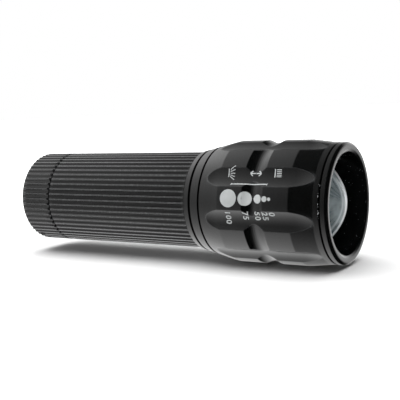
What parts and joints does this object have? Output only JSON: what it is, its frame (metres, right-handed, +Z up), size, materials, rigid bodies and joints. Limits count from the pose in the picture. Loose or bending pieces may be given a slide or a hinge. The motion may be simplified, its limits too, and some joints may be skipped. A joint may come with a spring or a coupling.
{
  "type": "zoom flashlight",
  "caption": "Pocket flashlight with a ridged battery tube, a screw-on tail cap with a recessed push button, and a fluted head that slides forward over the light engine to focus the beam.",
  "frame": {"origin": "under the middle of the light's box, on the surface it lies on", "axes": "+X along the beam from tail to lens, +Z up, +Y completes a right-handed frame"},
  "size_m": [0.1044, 0.0342, 0.0341],
  "materials": {
    "anodised_black": "satin black anodised, finely bead blasted",
    "bare_aluminium": "turned, bare",
    "brass": "plain stamped brass",
    "spring_steel": "nickel plated spring steel",
    "black_rubber": "matte moulded rubber",
    "black_plastic": "moulded plastic, matte",
    "board_green": "circuit board with solder mask",
    "board_white": "white solder mask on a metal core board",
    "cell_jacket": "plain printed jacket, satin silver",
    "lens_clear": "clear polished aspheric lens",
    "phosphor": "yellow phosphor under clear silicone",
    "wire_red": "insulated wire",
    "wire_black": "insulated wire"
  },
  "bodies": {
    "body": {"tail_o_ring": "black_rubber", "body_tube": "anodised_black", "holder_rear_plate": "black_plastic", "holder_front_plate": "black_plastic", "rear_contact_strip": "brass", "front_contact_strip": "brass", "rear_contact_pad": "brass", "front_contact_pad": "brass", "rear_rivet": "brass", "front_rivet": "brass", "cell_1": "cell_jacket", "cell_spring_1": "spring_steel", "holder_rib_1": "black_plastic", "cell_2": "cell_jacket", "cell_spring_2": "spring_steel", "holder_rib_2": "black_plastic", "cell_3": "cell_jacket", "cell_spring_3": "spring_steel", "holder_rib_3": "black_plastic", "pill_body": "anodised_black", "neck_collar": "anodised_black", "driver_board": "board_green", "driver_spring": "spring_steel", "driver_chip": "black_plastic", "driver_coil": "bare_aluminium", "led_board": "board_white", "led_emitter": "board_white", "led_dome": "phosphor", "led_screw_1": "spring_steel", "led_screw_2": "spring_steel", "led_wire_1": "wire_red", "led_wire_2": "wire_black"},
    "neck_seal": {"neck_o_ring": "black_rubber"},
    "head": {"head_sleeve": "anodised_black", "lens": "lens_clear", "lens_o_ring": "black_rubber", "bezel_ring": "anodised_black"},
    "tail_spring": {"tail_spring": "spring_steel"},
    "tail_cap": {"tail_cap": "anodised_black", "switch_retainer": "bare_aluminium", "switch_housing": "black_plastic", "switch_spring": "spring_steel", "switch_board": "board_green"},
    "switch_button": {"switch_plunger": "black_plastic", "switch_boot": "black_rubber"}
  },
  "joints": [
    {"name": "head_turn", "type": "hinge", "parent": "body", "child": "neck_seal", "pos_m": [0.0305, 0, 0.01692], "axis": [1, 0, 0], "continuous": true},
    {"name": "zoom_slide", "type": "slide", "parent": "neck_seal", "child": "head", "axis": [1, 0, 0], "range_m": [0, 0.01]},
    {"name": "tail_cap_back_off", "type": "slide", "parent": "body", "child": "tail_spring", "axis": [-1, 0, 0], "range_m": [0, 0.0026]},
    {"name": "tail_cap_turn", "type": "hinge", "parent": "tail_spring", "child": "tail_cap", "pos_m": [-0.0468, 0, 0.01692], "axis": [-1, 0, 0], "range_deg": [0, 1169]},
    {"name": "button_press", "type": "slide", "parent": "tail_cap", "child": "switch_button", "axis": [1, 0, 0], "range_m": [0, 0.0015], "stiffness_N_per_m": 2500, "springref_m": -0.0005, "deforming": ["switch_boot", "switch_spring"]}
  ],
  "couplings": [
    {"joint": "tail_cap_back_off", "follows": "tail_cap_turn", "m_per_rad": 0.00012732}
  ]
}
